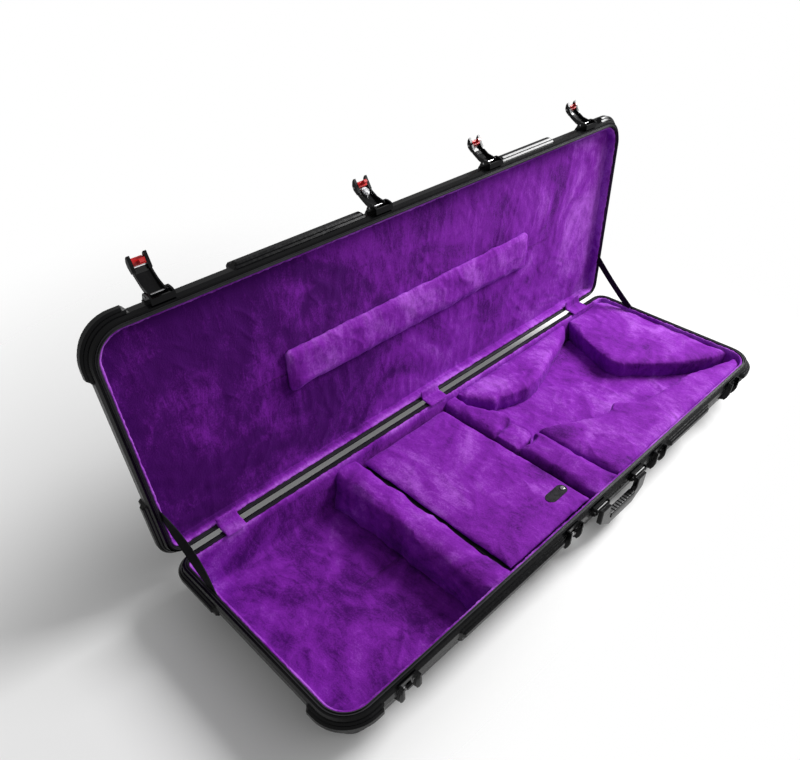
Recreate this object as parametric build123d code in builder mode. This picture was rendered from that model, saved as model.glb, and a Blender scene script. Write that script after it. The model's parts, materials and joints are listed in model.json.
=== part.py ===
"""A long moulded case for a stringed instrument, standing open on its base.

Millimetres. X runs along the case, the latches face -Y, and Z=0 is the floor.
RIM is the plane where the base meets the lid. LID is the same plane on the
lid as it stands open, so a lid point keeps its closed-case coordinates there.
"""
import os
from math import cos, radians, sin

from build123d import *

os.makedirs("parts", exist_ok=True)

# Overall sizes
RIM_LENGTH = 1200.0
RIM_WIDTH = 401.4
RIM_CORNER = 50.0
BACK_CORNER = 24.0
BASE_DEPTH = 96.0
LID_DEPTH = 42.0
LID_OPEN = 92.0

# Moulded shell, as offsets outwards from the rim line and depths from it
WALL = 3.0
BEAD_OUT = 6.0
BEAD_LIP_OUT = 3.5
BEAD_LIP = 1.5
BEAD_TOP = 9.0
BEAD_END = 22.0
WALL_IN = 2.0
DRAFT_IN = 17.5
LID_DRAFT_IN = 6.0
BASE_BOTTOM_RADIUS = 14.0
LID_TOP_RADIUS = 12.0
GUARD_LAYERS = ((8.0, 33.0, 9.5), (11.5, 24.5, 13.5))
GUARD_CHAMFER = 2.5
GUARD_END = 68.0
GUARD_FRONT_END = 69.7
GUARD_BACK_END = 112.7
GUARD_SLOPE = 14.0
BASE_RAILS = ((-380.0, -118.0), (221.0, 383.0))
LID_RAILS = ((-375.0, -125.0), (208.0, 370.0))

# Rim extrusion
VALANCE_WIDTH = 5.0
VALANCE_DEPTH = 12.0
RIM_GAP = 0.3
GROOVE_OUT = -1.2
GROOVE_IN = -3.8
GROOVE_DEPTH = 3.2
TONGUE_OUT = -1.9
TONGUE_IN = -3.1
TONGUE_LENGTH = 2.1

# Lining
LINING_OUT = -5.3
LINING_LIP = -6.8
LINING_BOTTOM = 88.5
POCKET_FLOOR = 80.0
POCKET_DRAFT = 14.5
LID_FLOOR = 20.0
SOFT_GAP = 0.3

# Hinge
HINGE_OUT = 7.9
HINGE_DROP = 8.4
KNUCKLE_RADIUS = 2.8
HINGE_PIN_RADIUS = 1.3
PIN_CLEARANCE = 0.05
LEAF_WIDTH = 44.0
LEAF_THICK = 1.4
HINGE_END = 103.0
MIDDLE_HINGE_X = -5.0

# Latches
LATCH_END = 113.0
LATCH_REST = (59.0, 43.5, 43.5, 43.5)
LOCK_LATCH = 2
LATCH_WIDTH = 36.0
PLATE_THICK = 1.5
PIVOT_OUT = 13.3
PIVOT_UP = 17.0
PIVOT_PIN_RADIUS = 1.6
ARM_HALF = 13.0
HEAD_HALF = 14.3
WINDOW_AT = -13.0
WINDOW_WIDTH = 9.0
WINDOW_HEIGHT = 7.0
CHEEK_THICK = 3.0
CHEEK_OUT = 10.0
ARM_WALL = 2.4
ARM_FACE = 14.9
TRIGGER_AT = 43.5
TRIGGER_PIN_OUT = 11.6
TRIGGER_PIN_RADIUS = 1.5
TRIGGER_HALF = 9.0
HOOK_HALF = 3.2
LOCK_AT = 31.0
BARREL_RADIUS = 4.8
LOCK_RING_RADIUS = 6.8
CORE_RADIUS = 3.4

# Handle
HANDLE_X = 45.0
CLIP_INSET = 9.5
CLIP_HALF = 19.5
HANDLE_PIVOT_DROP = 10.0
HANDLE_PIVOT_OUT = 12.3
HANDLE_PIN_RADIUS = 2.0
HANDLE_HALF = 71.0
LOBE_WIDTH = 26.0
GRIP_TOP = 36.0
HANDLE_END = 65.0

# Inside
REST_LEFT = -283.0
REST_RIGHT = -229.0
REST_FOOT = -310.0
REST_TOP = 10.0
FLAP_LEFT = -226.0
FLAP_RIGHT = 3.0
FLAP_TOP = 20.0
FLAP_THICK = 8.0
FLAP_SIDE = 16.7
FOAM_LEFT = 8.0
FOAM_TOP = 12.0
NECK_FOAM_DROP = 8.0
NECK_FOAM_RIGHT = 76.0
CRADLE_TOP = 19.0
PAD_TOP = 53.0
FOAM_CHAMFER = 3.0
LID_PAD_LENGTH = 642.0
LID_PAD_WIDTH = 85.0
LID_PAD_THICK = 9.7

HALF_LENGTH = RIM_LENGTH / 2
HALF_WIDTH = RIM_WIDTH / 2
FRONT = -HALF_WIDTH
BEAD_FACE = FRONT - BEAD_OUT
HINGE_Y = HALF_WIDTH + HINGE_OUT
HINGE_X = (HINGE_END - HALF_LENGTH, MIDDLE_HINGE_X, HALF_LENGTH - HINGE_END)
GUARD_X = HALF_LENGTH - GUARD_END
GUARD_FRONT_Y = HALF_WIDTH - GUARD_FRONT_END
GUARD_BACK_Y = HALF_WIDTH - GUARD_BACK_END
CLIP_OFFSET = HANDLE_HALF - CLIP_INSET
FLAP_HALF = HALF_WIDTH - FLAP_SIDE
LATCH_X = (LATCH_END - HALF_LENGTH, -94.0, 184.0, HALF_LENGTH - LATCH_END)
CHEEK_AT = (LATCH_WIDTH - CHEEK_THICK) / 2


def opened(y, z):
    """Where a closed-lid point (y from the middle, z from the rim) stands when open."""
    turn = radians(LID_OPEN)
    dy = y - HINGE_Y
    dz = z + HINGE_DROP
    up = BASE_DEPTH - HINGE_DROP
    return (0, HINGE_Y + dy * cos(turn) + dz * sin(turn), up - dy * sin(turn) + dz * cos(turn))


RIM = Plane(origin=(0, 0, BASE_DEPTH), x_dir=(1, 0, 0), z_dir=(0, 0, 1))
LID = Plane(
    origin=opened(0, 0),
    x_dir=(1, 0, 0),
    z_dir=(0, sin(radians(LID_OPEN)), cos(radians(LID_OPEN))),
)
UP = Axis.Z
LID_UP = Axis((0, 0, 0), LID.z_dir)


def side(frame, x):
    """The plane across the case at x: its first axis is the frame's Y, its second the frame's Z."""
    return Plane(origin=frame.from_local_coords(Vector(x, 0, 0)), x_dir=frame.y_dir, z_dir=(1, 0, 0))


def facing(frame, x, y, z):
    """A plane that looks out of the front, -Y, with its first axis along X."""
    spot = frame.from_local_coords(Vector(x, y, z))
    return Plane(origin=spot, x_dir=(1, 0, 0), z_dir=-frame.y_dir)


def outline(out, back=BACK_CORNER, mode=Mode.ADD):
    """The rim's outline, moved outwards. Its corners at the hinge side are tighter."""
    RectangleRounded(RIM_LENGTH + 2 * out, RIM_WIDTH + 2 * out, RIM_CORNER + out, mode=mode)
    with Locations((0, HALF_WIDTH / 2 + out / 2)):
        RectangleRounded(RIM_LENGTH + 2 * out, HALF_WIDTH + out, back + out, mode=mode)


def guards(rails, out):
    """The corner guards and the side rails, with sloping ends."""
    outline(out)
    edge = HALF_WIDTH + BEAD_OUT
    far = edge + GUARD_SLOPE
    with BuildLine() as strip:
        Polyline(
            (-GUARD_X, edge), (-GUARD_X - GUARD_SLOPE, far), (GUARD_X + GUARD_SLOPE, far), (GUARD_X, edge),
            (GUARD_X, -edge), (GUARD_X + GUARD_SLOPE, -far), (-GUARD_X - GUARD_SLOPE, -far), (-GUARD_X, -edge),
            close=True,
        )
    make_face(strip.line, mode=Mode.SUBTRACT)
    edge = HALF_LENGTH + BEAD_OUT
    far = edge + GUARD_SLOPE
    low = -GUARD_FRONT_Y
    high = GUARD_BACK_Y
    with BuildLine() as strip:
        Polyline(
            (-edge, low), (-far, low - GUARD_SLOPE), (-far, high + GUARD_SLOPE), (-edge, high),
            (edge, high), (far, high + GUARD_SLOPE), (far, low - GUARD_SLOPE), (edge, low), close=True,
        )
    make_face(strip.line, mode=Mode.SUBTRACT)
    for left, right in rails:
        with BuildLine() as rail:
            Polyline(
                (left, FRONT + 5), (left, FRONT - BEAD_OUT), (left + out - BEAD_OUT, FRONT - out),
                (right - out + BEAD_OUT, FRONT - out), (right, FRONT - BEAD_OUT), (right, FRONT + 5), close=True,
            )
        make_face(rail.line)


def export(builder, name):
    builder.part.label = name
    export_step(builder.part, f"parts/{name}.step")


# Shell of the base

base_guards = []
for near, far, out in GUARD_LAYERS:
    with BuildPart() as base_layer:
        with BuildSketch(RIM.offset(-far)):
            guards(BASE_RAILS, out)
        extrude(amount=far - near)
        rims = base_layer.edges().group_by(UP)
        chamfer(rims[0] + rims[-1], GUARD_CHAMFER)
    base_guards.append(base_layer.part)

with BuildPart() as base_hollow:
    with BuildSketch(RIM.offset(-BASE_DEPTH + WALL)):
        outline(-DRAFT_IN - WALL, back=RIM_CORNER)
    with BuildSketch(RIM.offset(-BEAD_END)):
        outline(-WALL_IN - WALL)
    loft(ruled=True)
    fillet(base_hollow.edges().group_by(UP)[0], BASE_BOTTOM_RADIUS - WALL)
    with BuildSketch(RIM.offset(-BEAD_END)):
        outline(-WALL_IN - WALL)
    extrude(amount=BEAD_END)

with BuildPart() as base_shell:
    with BuildSketch(RIM.offset(-BEAD_TOP)):
        outline(BEAD_OUT)
    with BuildSketch(RIM.offset(-BEAD_LIP)):
        outline(BEAD_LIP_OUT)
    loft(ruled=True)
    with BuildSketch(RIM.offset(-BEAD_END)):
        outline(BEAD_OUT)
    extrude(amount=BEAD_END - BEAD_TOP)
    with BuildSketch(RIM.offset(-BASE_DEPTH)):
        outline(-DRAFT_IN, back=RIM_CORNER)
    with BuildSketch(RIM.offset(-BEAD_END)):
        outline(-WALL_IN)
    loft(ruled=True)
    fillet(base_shell.edges().group_by(UP)[0], BASE_BOTTOM_RADIUS)
    # ribs that carry the keepers' cheeks out to the face of the bead
    for x in LATCH_X:
        for sign in (-1, 1):
            with BuildSketch(side(RIM, x + sign * CHEEK_AT)):
                with BuildLine():
                    Polyline((BEAD_FACE, -14), (BEAD_FACE, -44), (FRONT + 14, -52), (FRONT + 10, -14), close=True)
                make_face()
            extrude(amount=CHEEK_THICK / 2 + 0.6, both=True)
    add(base_guards)
    add(base_hollow.part, mode=Mode.SUBTRACT)
    with BuildSketch(RIM.offset(-VALANCE_DEPTH)):
        outline(0)
    extrude(amount=VALANCE_DEPTH, mode=Mode.SUBTRACT)
    # reliefs for the hinge barrels
    for x in HINGE_X:
        with BuildSketch(side(RIM, x)):
            with Locations((HINGE_Y, -HINGE_DROP)):
                Circle(KNUCKLE_RADIUS + 0.6)
        extrude(amount=LEAF_WIDTH / 2 + 0.5, both=True, mode=Mode.SUBTRACT)
    # pockets behind the keeper windows
    for x in LATCH_X:
        with BuildSketch(facing(RIM, x, BEAD_FACE + 4, WINDOW_AT)):
            Rectangle(WINDOW_WIDTH + 2, WINDOW_HEIGHT + 2)
        extrude(amount=6, mode=Mode.SUBTRACT)
export(base_shell, "base_shell")

with BuildPart() as base_valance:
    with BuildSketch(RIM.offset(-VALANCE_DEPTH)):
        outline(0)
        outline(-VALANCE_WIDTH, mode=Mode.SUBTRACT)
    extrude(amount=VALANCE_DEPTH - RIM_GAP)
    with BuildSketch(RIM.offset(-RIM_GAP - GROOVE_DEPTH)):
        outline(GROOVE_OUT)
        outline(GROOVE_IN, mode=Mode.SUBTRACT)
    extrude(amount=GROOVE_DEPTH, mode=Mode.SUBTRACT)
export(base_valance, "base_valance")

# Shell of the lid

lid_guards = []
for near, far, out in GUARD_LAYERS:
    with BuildPart() as lid_layer:
        with BuildSketch(LID.offset(near)):
            guards(LID_RAILS, out)
        extrude(amount=far - near)
        rims = lid_layer.edges().group_by(LID_UP)
        chamfer(rims[0] + rims[-1], GUARD_CHAMFER)
    lid_guards.append(lid_layer.part)

with BuildPart() as lid_hollow:
    with BuildSketch(LID.offset(BEAD_END)):
        outline(-WALL_IN - WALL)
    with BuildSketch(LID.offset(LID_DEPTH - WALL)):
        outline(-LID_DRAFT_IN - WALL, back=RIM_CORNER)
    loft(ruled=True)
    fillet(lid_hollow.edges().group_by(LID_UP)[-1], LID_TOP_RADIUS - WALL)
    with BuildSketch(LID):
        outline(-WALL_IN - WALL)
    extrude(amount=BEAD_END)

with BuildPart() as lid_shell:
    with BuildSketch(LID.offset(BEAD_LIP)):
        outline(BEAD_LIP_OUT)
    with BuildSketch(LID.offset(BEAD_TOP)):
        outline(BEAD_OUT)
    loft(ruled=True)
    with BuildSketch(LID.offset(BEAD_TOP)):
        outline(BEAD_OUT)
    extrude(amount=BEAD_END - BEAD_TOP)
    with BuildSketch(LID.offset(BEAD_END)):
        outline(-WALL_IN)
    with BuildSketch(LID.offset(LID_DEPTH)):
        outline(-LID_DRAFT_IN, back=RIM_CORNER)
    loft(ruled=True)
    fillet(lid_shell.edges().group_by(LID_UP)[-1], LID_TOP_RADIUS)
    # flat seats that carry the latch brackets
    for x in LATCH_X:
        with BuildSketch(side(LID, x)):
            with BuildLine():
                Polyline((BEAD_FACE, 14), (BEAD_FACE, 28), (FRONT + 6, 33), (FRONT + 10, 14), close=True)
            make_face()
        extrude(amount=LATCH_WIDTH / 2 + 1, both=True)
    add(lid_guards)
    add(lid_hollow.part, mode=Mode.SUBTRACT)
    with BuildSketch(LID):
        outline(0)
    extrude(amount=VALANCE_DEPTH, mode=Mode.SUBTRACT)
    # a shallow stiffening panel in the outside face
    with BuildSketch(LID.offset(LID_DEPTH)):
        RectangleRounded(1040, 270, 40)
        RectangleRounded(1000, 230, 30, mode=Mode.SUBTRACT)
    extrude(amount=-1.2, mode=Mode.SUBTRACT)
export(lid_shell, "lid_shell")

with BuildPart() as lid_valance:
    with BuildSketch(LID.offset(RIM_GAP)):
        outline(0)
        outline(-VALANCE_WIDTH, mode=Mode.SUBTRACT)
    extrude(amount=VALANCE_DEPTH - RIM_GAP)
    with BuildSketch(LID.offset(RIM_GAP)):
        outline(TONGUE_OUT)
        outline(TONGUE_IN, mode=Mode.SUBTRACT)
    extrude(amount=-TONGUE_LENGTH - 2 * RIM_GAP)
export(lid_valance, "lid_valance")

# Hinges: three knuckled pairs of leaves

KNUCKLE = LEAF_WIDTH / 5


def knuckles(frame, x, numbers):
    """Barrel pieces of one leaf, as short tubes on the hinge line."""
    for number in numbers:
        start = x - LEAF_WIDTH / 2 + number * KNUCKLE + 0.15
        with BuildSketch(side(frame, start)) as face:
            with Locations((HINGE_Y, -HINGE_DROP)):
                Circle(KNUCKLE_RADIUS)
        extrude(face.sketch, amount=KNUCKLE - 0.3)


def leaf_strips(frame, x, numbers, low, high, root_low, root_high):
    """The flat of one leaf and the straps that reach its knuckles."""
    with BuildSketch(side(frame, x)) as face:
        with Locations((HALF_WIDTH + BEAD_OUT + LEAF_THICK / 2, (low + high) / 2)):
            Rectangle(LEAF_THICK, high - low)
    extrude(face.sketch, amount=LEAF_WIDTH / 2, both=True)
    for number in numbers:
        start = x - LEAF_WIDTH / 2 + number * KNUCKLE + 0.15
        with BuildSketch(side(frame, start)) as face:
            with Locations((HALF_WIDTH + BEAD_OUT + LEAF_THICK / 2, (root_low + root_high) / 2)):
                Rectangle(LEAF_THICK, root_high - root_low)
        extrude(face.sketch, amount=KNUCKLE - 0.3)


def pin_bore(frame, x):
    with BuildSketch(side(frame, x)) as face:
        with Locations((HINGE_Y, -HINGE_DROP)):
            Circle(HINGE_PIN_RADIUS + PIN_CLEARANCE)
    extrude(face.sketch, amount=LEAF_WIDTH / 2 + 1, both=True, mode=Mode.SUBTRACT)


with BuildPart() as hinge_base_leaves:
    for x in HINGE_X:
        leaf_strips(RIM, x, (0, 2, 4), -BEAD_END, -12.2, -12.3, -HINGE_DROP)
        knuckles(RIM, x, (0, 2, 4))
        pin_bore(RIM, x)
export(hinge_base_leaves, "hinge_base_leaves")

with BuildPart() as hinge_lid_leaves:
    for x in HINGE_X:
        leaf_strips(LID, x, (1, 3), 6, BEAD_END, -HINGE_DROP, 6.1)
        knuckles(LID, x, (1, 3))
        pin_bore(LID, x)
export(hinge_lid_leaves, "hinge_lid_leaves")

with BuildPart() as hinge_pins:
    for x in HINGE_X:
        with BuildSketch(side(RIM, x)):
            with Locations((HINGE_Y, -HINGE_DROP)):
                Circle(HINGE_PIN_RADIUS)
        extrude(amount=LEAF_WIDTH / 2, both=True)
export(hinge_pins, "hinge_pins")


def back_rivets(frame, drop):
    """Two domed rivet heads on each hinge leaf."""
    for x in HINGE_X:
        for shift in (-14, 14):
            spot = frame.from_local_coords(Vector(x + shift, HALF_WIDTH + BEAD_OUT + LEAF_THICK, drop))
            with BuildSketch(Plane(origin=spot, x_dir=(1, 0, 0), z_dir=frame.y_dir)) as face:
                Circle(2.4)
            extrude(face.sketch, amount=1.1)


with BuildPart() as hinge_rivets_base:
    back_rivets(RIM, -17)
    chamfer(hinge_rivets_base.edges().group_by(Axis.Y)[-1], 0.5)
export(hinge_rivets_base, "hinge_rivets_base")

with BuildPart() as hinge_rivets_lid:
    back_rivets(LID, 17)
export(hinge_rivets_lid, "hinge_rivets_lid")

# Keepers on the base

with BuildPart() as latch_keepers:
    for x in LATCH_X:
        with BuildSketch(side(RIM, x)):
            with Locations((BEAD_FACE - PLATE_THICK / 2, -12)):
                Rectangle(PLATE_THICK, 21)
        extrude(amount=LATCH_WIDTH / 2, both=True)
        # two cheeks, one at each side of the arm's head
        for sign in (-1, 1):
            with BuildSketch(side(RIM, x + sign * CHEEK_AT)):
                with BuildLine():
                    Polyline(
                        (BEAD_FACE, -1.5), (BEAD_FACE - CHEEK_OUT, -1.5), (BEAD_FACE - CHEEK_OUT, -28),
                        (BEAD_FACE - 7.5, -37), (BEAD_FACE - 3, -45), (BEAD_FACE, -44), close=True,
                    )
                make_face()
            extrude(amount=CHEEK_THICK / 2, both=True)
        with BuildSketch(facing(RIM, x, BEAD_FACE + 1, WINDOW_AT)):
            Rectangle(WINDOW_WIDTH, WINDOW_HEIGHT)
        extrude(amount=4, mode=Mode.SUBTRACT)
        # the nose that the trigger's hook catches under
        with BuildSketch(side(RIM, x)):
            with BuildLine():
                Polyline(
                    (BEAD_FACE - 1, -17), (BEAD_FACE - 5, -18.5), (BEAD_FACE - 5, -23.2), (BEAD_FACE - 3.4, -23.2),
                    (BEAD_FACE - 3.4, -20.5), (BEAD_FACE - 1, -20.5), close=True,
                )
            make_face()
        extrude(amount=HOOK_HALF + 2, both=True)
export(latch_keepers, "latch_keepers")

with BuildPart() as keeper_rivets:
    for x in LATCH_X:
        for shift in (-9.5, 9.5):
            with BuildSketch(facing(RIM, x + shift, BEAD_FACE - PLATE_THICK, -13)):
                Circle(1.8)
            extrude(amount=0.8)
export(keeper_rivets, "keeper_rivets")

# Latch brackets on the lid

PIVOT_Y = FRONT - PIVOT_OUT

with BuildPart() as latch_brackets:
    for x in LATCH_X:
        with BuildSketch(side(LID, x)):
            with Locations((BEAD_FACE - PLATE_THICK / 2, 14.5)):
                Rectangle(PLATE_THICK, 26)
        extrude(amount=LATCH_WIDTH / 2, both=True)
        for sign in (-1, 1):
            with BuildSketch(side(LID, x + sign * CHEEK_AT)):
                with BuildLine():
                    Polyline(
                        (BEAD_FACE - 0.5, 1.5), (BEAD_FACE - 8.8, 1.5), (BEAD_FACE - 11.4, 6), (BEAD_FACE - 12.6, 12),
                        (BEAD_FACE - 12.4, 18), (BEAD_FACE - 10.5, 22), (BEAD_FACE - 6.5, 24.5),
                        (BEAD_FACE - 0.5, 27), close=True,
                    )
                make_face()
                with Locations((PIVOT_Y, PIVOT_UP)):
                    Circle(PIVOT_PIN_RADIUS, mode=Mode.SUBTRACT)
            extrude(amount=CHEEK_THICK / 2, both=True)
        # the wall that closes the bracket on the rim side
        with BuildSketch(side(LID, x)):
            with Locations((BEAD_FACE - 4.4, 3)):
                Rectangle(8.8, 3)
        extrude(amount=LATCH_WIDTH / 2, both=True)
export(latch_brackets, "latch_brackets")

with BuildPart() as latch_pivot_pins:
    for x in LATCH_X:
        with BuildSketch(side(LID, x)):
            with Locations((PIVOT_Y, PIVOT_UP)):
                Circle(PIVOT_PIN_RADIUS)
        extrude(amount=LATCH_WIDTH / 2 + 0.8, both=True)
export(latch_pivot_pins, "latch_pivot_pins")

with BuildPart() as bracket_rivets:
    for x in LATCH_X:
        for rise in (8, 24.5):
            with BuildSketch(facing(LID, x, BEAD_FACE - PLATE_THICK, rise)):
                Circle(1.8)
            extrude(amount=0.6)
export(bracket_rivets, "bracket_rivets")

# Latch arms. In an arm's plane the first axis points outwards from the pivot
# line and the second runs along the arm, towards its trigger.


def arm_plane(x, angle):
    turn = radians(angle)
    along = LID.y_dir * -sin(turn) + LID.z_dir * cos(turn)
    outwards = LID.y_dir * cos(turn) + LID.z_dir * sin(turn)
    spot = LID.from_local_coords(Vector(x, PIVOT_Y, PIVOT_UP))
    return Plane(origin=spot, x_dir=outwards, z_dir=(1, 0, 0)), outwards, along


for number, (x, angle) in enumerate(zip(LATCH_X, LATCH_REST), start=1):
    arm, outwards, along = arm_plane(x, angle)

    with BuildPart() as latch_arm:
        with BuildSketch(arm):
            with BuildLine():
                Polyline(
                    (-3.4, -3.4), (2, -5), (5, -2), (7, 3), (10.7, 10.5), (13.4, 22), (14.8, 30), (14.8, 38.2),
                    (8.2, 38.2), (7.8, 28), (5, 16), (-1, 6), (-4.8, 1), close=True,
                )
            make_face()
        extrude(amount=ARM_HALF, both=True)
        with BuildSketch(arm):
            with BuildLine():
                Polyline(
                    (-9, -9), (0, -9), (2.8, -2), (4.9, 3.7), (8.5, 11.2), (11.2, 22.4), (12.6, 30.2),
                    (12.6, 42), (-9, 42), close=True,
                )
            make_face()
        extrude(amount=ARM_HALF - ARM_WALL, both=True, mode=Mode.SUBTRACT)
        # the head: two ears that carry the trigger
        for sign in (-1, 1):
            with BuildSketch(arm.offset(sign * (TRIGGER_HALF + 0.4 + HEAD_HALF) / 2)):
                with BuildLine():
                    Polyline(
                        (8, 32), (5, 42), (2, 53), (7, 52), (12.8, 48), (15.6, 42), (14.8, 32), close=True,
                    )
                make_face()
                with Locations((TRIGGER_PIN_OUT, TRIGGER_AT)):
                    Circle(TRIGGER_PIN_RADIUS, mode=Mode.SUBTRACT)
            extrude(amount=(HEAD_HALF - TRIGGER_HALF - 0.4) / 2, both=True)
        with BuildSketch(arm):
            Circle(PIVOT_PIN_RADIUS + PIN_CLEARANCE)
        extrude(amount=ARM_HALF + 1, both=True, mode=Mode.SUBTRACT)
        if number == LOCK_LATCH:
            lock_seat = Plane(origin=arm.from_local_coords(Vector(9, LOCK_AT, 0)), x_dir=(1, 0, 0), z_dir=outwards)
            with BuildSketch(lock_seat):
                Circle(BARREL_RADIUS)
            extrude(amount=8, mode=Mode.SUBTRACT)
    export(latch_arm, f"latch_arm_{number}")

    with BuildPart() as trigger:
        with BuildSketch(arm):
            with BuildLine():
                Polyline(
                    (6.4, 39.2), (3.8, 46.5), (9.5, 47.2), (11.4, 50.4), (14, 47.5), (16, 43), (15.2, 39.2), close=True,
                )
            make_face()
        extrude(amount=TRIGGER_HALF, both=True)
        with BuildSketch(arm):
            with BuildLine():
                Polyline(
                    (7, 40.7), (-4.2, 40.7), (-4.2, 38.9), (-5.5, 39.6), (-5.5, 43.2), (-4.5, 44.2), (7, 44.2), close=True
                )
            make_face()
        extrude(amount=HOOK_HALF, both=True)
        with BuildSketch(arm):
            with Locations((TRIGGER_PIN_OUT, TRIGGER_AT)):
                Circle(TRIGGER_PIN_RADIUS + PIN_CLEARANCE)
        extrude(amount=TRIGGER_HALF + 1, both=True, mode=Mode.SUBTRACT)
        with BuildSketch(arm.offset(5.5)):
            with Locations((TRIGGER_PIN_OUT, TRIGGER_AT)):
                Circle(3.3)
        extrude(amount=TRIGGER_HALF, mode=Mode.SUBTRACT)
    export(trigger, f"trigger_{number}")

    with BuildPart() as trigger_pin:
        with BuildSketch(arm):
            with Locations((TRIGGER_PIN_OUT, TRIGGER_AT)):
                Circle(TRIGGER_PIN_RADIUS)
        extrude(amount=HEAD_HALF + 0.4, both=True)
    export(trigger_pin, f"trigger_pin_{number}")

    spring_spot = arm.from_local_coords(Vector(TRIGGER_PIN_OUT, TRIGGER_AT, 6.1))
    with BuildPart() as trigger_spring:
        with BuildLine():
            coil = Helix(pitch=1.2, height=2.3, radius=2.35, center=spring_spot, direction=(1, 0, 0))
        with BuildSketch(Plane(origin=coil @ 0, z_dir=coil % 0)):
            Circle(0.4)
        sweep(path=coil, is_frenet=True)
    export(trigger_spring, f"trigger_spring_{number}")

    if number == LOCK_LATCH:
        barrel = Plane(origin=arm.from_local_coords(Vector(5, LOCK_AT, 0)), x_dir=(1, 0, 0), z_dir=outwards)
        face_at = ARM_FACE - 5
        with BuildPart() as lock_barrel:
            with BuildSketch(barrel):
                Circle(BARREL_RADIUS)
            extrude(amount=face_at + 1.2)
            with BuildSketch(barrel.offset(face_at)):
                Circle(LOCK_RING_RADIUS)
            extrude(amount=1.2)
            with BuildSketch(barrel):
                Circle(CORE_RADIUS + PIN_CLEARANCE)
            extrude(amount=2 * face_at, mode=Mode.SUBTRACT)
        export(lock_barrel, "lock_barrel")

        with BuildPart() as lock_core:
            with BuildSketch(barrel.offset(-0.5)):
                Circle(CORE_RADIUS)
            extrude(amount=face_at + 2)
            with BuildSketch(barrel.offset(face_at - 3)):
                Rectangle(1.2, 4.6)
            extrude(amount=8, mode=Mode.SUBTRACT)
        export(lock_core, "lock_core")

        with BuildPart() as lock_nut:
            with BuildSketch(barrel.offset(2.1)):
                Circle(LOCK_RING_RADIUS)
                Circle(BARREL_RADIUS, mode=Mode.SUBTRACT)
            extrude(amount=4)
        export(lock_nut, "lock_nut")

# Carrying handle, hanging from two clips on the base

CLIP_X = (HANDLE_X - CLIP_OFFSET, HANDLE_X + CLIP_OFFSET)
HANDLE_PIVOT_Y = FRONT - HANDLE_PIVOT_OUT

with BuildPart() as handle_brackets:
    for x in CLIP_X:
        with BuildSketch(side(RIM, x)):
            with Locations((BEAD_FACE - PLATE_THICK / 2, -13.5)):
                Rectangle(PLATE_THICK, 21)
        extrude(amount=CLIP_HALF, both=True)
        for sign in (-1, 1):
            with BuildSketch(side(RIM, x + sign * (CLIP_HALF - 1.25))):
                with BuildLine():
                    Polyline(
                        (BEAD_FACE - 0.5, -3), (BEAD_FACE - 8, -3), (BEAD_FACE - 11, -7), (BEAD_FACE - 11, -13),
                        (BEAD_FACE - 7, -20), (BEAD_FACE - 0.5, -24), close=True,
                    )
                make_face()
                with Locations((HANDLE_PIVOT_Y, -HANDLE_PIVOT_DROP)):
                    Circle(HANDLE_PIN_RADIUS, mode=Mode.SUBTRACT)
            extrude(amount=1.25, both=True)
        # the cap over the pivot
        with BuildSketch(side(RIM, x)):
            with Locations((BEAD_FACE - 2.5, -3.7)):
                Rectangle(4.5, 1.4)
        extrude(amount=CLIP_HALF, both=True)
export(handle_brackets, "handle_brackets")

with BuildPart() as handle_bracket_rivets:
    for x in CLIP_X:
        for shift in (-12, 12):
            with BuildSketch(facing(RIM, x + shift, BEAD_FACE - PLATE_THICK, -19.5)):
                Circle(2)
            extrude(amount=0.5)
export(handle_bracket_rivets, "handle_bracket_rivets")

with BuildPart() as handle_pins:
    for x in CLIP_X:
        with BuildSketch(side(RIM, x)):
            with Locations((HANDLE_PIVOT_Y, -HANDLE_PIVOT_DROP)):
                Circle(HANDLE_PIN_RADIUS)
        extrude(amount=CLIP_HALF + 0.8, both=True)
export(handle_pins, "handle_pins")

with BuildPart() as handle_frame:
    with BuildSketch(facing(RIM, HANDLE_X, FRONT - 13.3, 0)):
        with BuildLine():
            Polyline(
                (-HANDLE_HALF, -HANDLE_PIVOT_DROP), (-HANDLE_HALF, -42), (-HANDLE_HALF + 32, -HANDLE_END),
                (HANDLE_HALF - 32, -HANDLE_END), (HANDLE_HALF, -42), (HANDLE_HALF, -HANDLE_PIVOT_DROP), close=True,
            )
        make_face()
        with BuildLine():
            inner = HANDLE_HALF - LOBE_WIDTH
            Polyline(
                (-inner, 0), (-inner, -30), (-inner + 6, -GRIP_TOP), (inner - 6, -GRIP_TOP),
                (inner, -30), (inner, 0), close=True,
            )
        make_face(mode=Mode.SUBTRACT)
    extrude(amount=10)
    fillet(handle_frame.edges().filter_by(Axis.Y, reverse=True).filter_by(lambda e: e.center().Z < BASE_DEPTH - 14), 2)
    for x in CLIP_X:
        with BuildSketch(side(RIM, x)):
            with Locations((HANDLE_PIVOT_Y, -HANDLE_PIVOT_DROP)):
                Circle(4.4)
        extrude(amount=CLIP_HALF - 3, both=True)
        with BuildSketch(side(RIM, x)):
            with Locations((HANDLE_PIVOT_Y, -HANDLE_PIVOT_DROP)):
                Circle(HANDLE_PIN_RADIUS + PIN_CLEARANCE)
        extrude(amount=CLIP_HALF, both=True, mode=Mode.SUBTRACT)
    # seat for the soft grip
    with BuildSketch(side(RIM, HANDLE_X)):
        with Locations((FRONT - 18.3, -GRIP_TOP - 6)):
            Rectangle(12, 12)
    extrude(amount=HANDLE_HALF - LOBE_WIDTH - 7, both=True, mode=Mode.SUBTRACT)
export(handle_frame, "handle_frame")

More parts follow.
